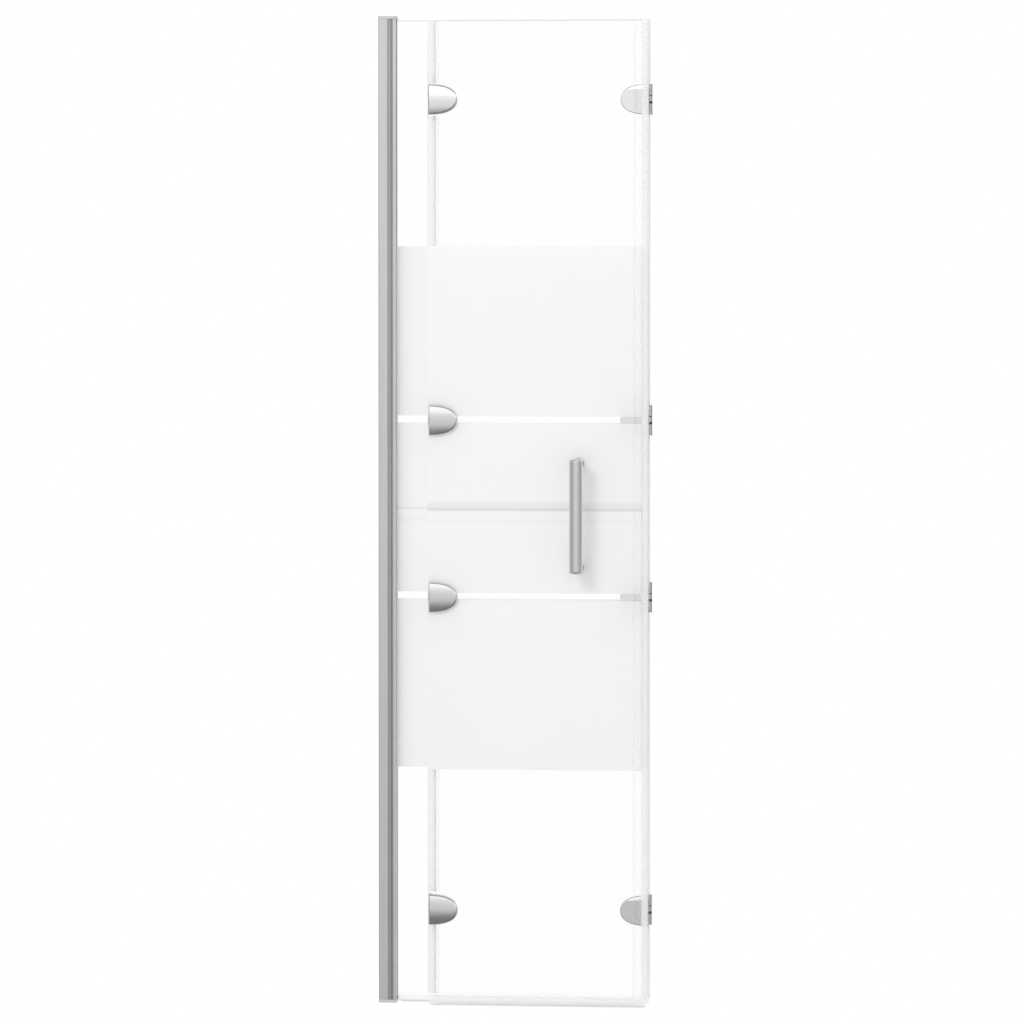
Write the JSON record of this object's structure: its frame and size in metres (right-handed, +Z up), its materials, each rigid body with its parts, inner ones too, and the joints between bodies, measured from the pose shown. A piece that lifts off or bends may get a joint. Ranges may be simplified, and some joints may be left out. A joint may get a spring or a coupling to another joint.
{
  "type": "folding bath screen",
  "caption": "Frameless folding glass bath screen: a fixed panel in a wall profile and hinged panels that fold flat in front of it, with an upright bar handle.",
  "frame": {"origin": "on the wall's surface, at the centre of the wall screw pattern: mid-depth of the wall channel and mid-height of the screen", "axes": "+X from the wall along the bath, +Y to the bath side, -Y to the room side where the panels fold, +Z up; stored folded flat"},
  "size_m": [0.3894, 0.1104, 1.4],
  "materials": {
    "bright_aluminium": "bright anodised",
    "cap_plastic": "silver-grey moulded plastic",
    "glazing_gasket": "soft grey profile",
    "safety_glass": "clear toughened glass with a frosted field and two clear stripes",
    "milky_seal": "milky soft PVC",
    "black_washer": "black moulded plastic",
    "clear_gasket": "thin clear plastic",
    "stainless_steel": "plain",
    "polished_chrome": "polished"
  },
  "bodies": {
    "wall_and_fixed_panel": {"wall_channel": "bright_aluminium", "glazing_profile": "bright_aluminium", "top_end_cap": "cap_plastic", "bottom_end_cap": "cap_plastic", "clamp_screws": "stainless_steel", "screw_caps": "cap_plastic", "outer_glazing_gasket": "glazing_gasket", "inner_glazing_gasket": "glazing_gasket", "fixed_glass": "safety_glass", "fixed_bottom_seal": "milky_seal", "outer_fixed_leaf_1": "polished_chrome", "outer_fixed_leaf_2": "polished_chrome", "outer_fixed_leaf_3": "polished_chrome", "outer_fixed_leaf_4": "polished_chrome", "fixed_clamp_plates": "polished_chrome", "outer_hinge_pins": "stainless_steel", "outer_hinge_washers": "black_washer", "fixed_hinge_screws": "stainless_steel", "fixed_hinge_gaskets": "clear_gasket"},
    "middle_panel": {"middle_glass": "safety_glass", "middle_bottom_seal": "milky_seal", "outer_fold_seal": "milky_seal", "inner_fold_seal": "milky_seal", "outer_moving_leaf_1": "polished_chrome", "outer_moving_leaf_2": "polished_chrome", "outer_moving_leaf_3": "polished_chrome", "outer_moving_leaf_4": "polished_chrome", "inner_fixed_leaf_1": "polished_chrome", "inner_fixed_leaf_2": "polished_chrome", "inner_fixed_leaf_3": "polished_chrome", "inner_fixed_leaf_4": "polished_chrome", "middle_back_plate_1": "polished_chrome", "middle_back_plate_2": "polished_chrome", "middle_back_plate_3": "polished_chrome", "middle_back_plate_4": "polished_chrome", "middle_clamp_plates": "polished_chrome", "inner_hinge_pins": "stainless_steel", "inner_hinge_washers": "black_washer", "middle_hinge_screws": "stainless_steel", "middle_hinge_gaskets": "clear_gasket"},
    "last_panel": {"last_glass": "safety_glass", "last_bottom_seal": "milky_seal", "free_edge_seal": "milky_seal", "inner_moving_leaf_1": "polished_chrome", "inner_moving_leaf_2": "polished_chrome", "inner_moving_leaf_3": "polished_chrome", "inner_moving_leaf_4": "polished_chrome", "last_cover_plate_1": "polished_chrome", "last_cover_plate_2": "polished_chrome", "last_cover_plate_3": "polished_chrome", "last_cover_plate_4": "polished_chrome", "last_hinge_screws": "stainless_steel", "last_hinge_gaskets": "clear_gasket", "handle_bar": "polished_chrome", "upper_handle_post": "polished_chrome", "lower_handle_post": "polished_chrome", "handle_gaskets": "clear_gasket", "handle_screws": "stainless_steel", "handle_backing_discs": "polished_chrome"}
  },
  "joints": [
    {"name": "outer_fold", "type": "hinge", "parent": "wall_and_fixed_panel", "child": "middle_panel", "pos_m": [0.3864, -0.01, 0], "axis": [0, 0, 1], "range_deg": [0, 180]},
    {"name": "inner_fold", "type": "hinge", "parent": "middle_panel", "child": "last_panel", "pos_m": [0.0764, -0.03, 0], "axis": [0, 0, -1], "range_deg": [0, 180]}
  ]
}
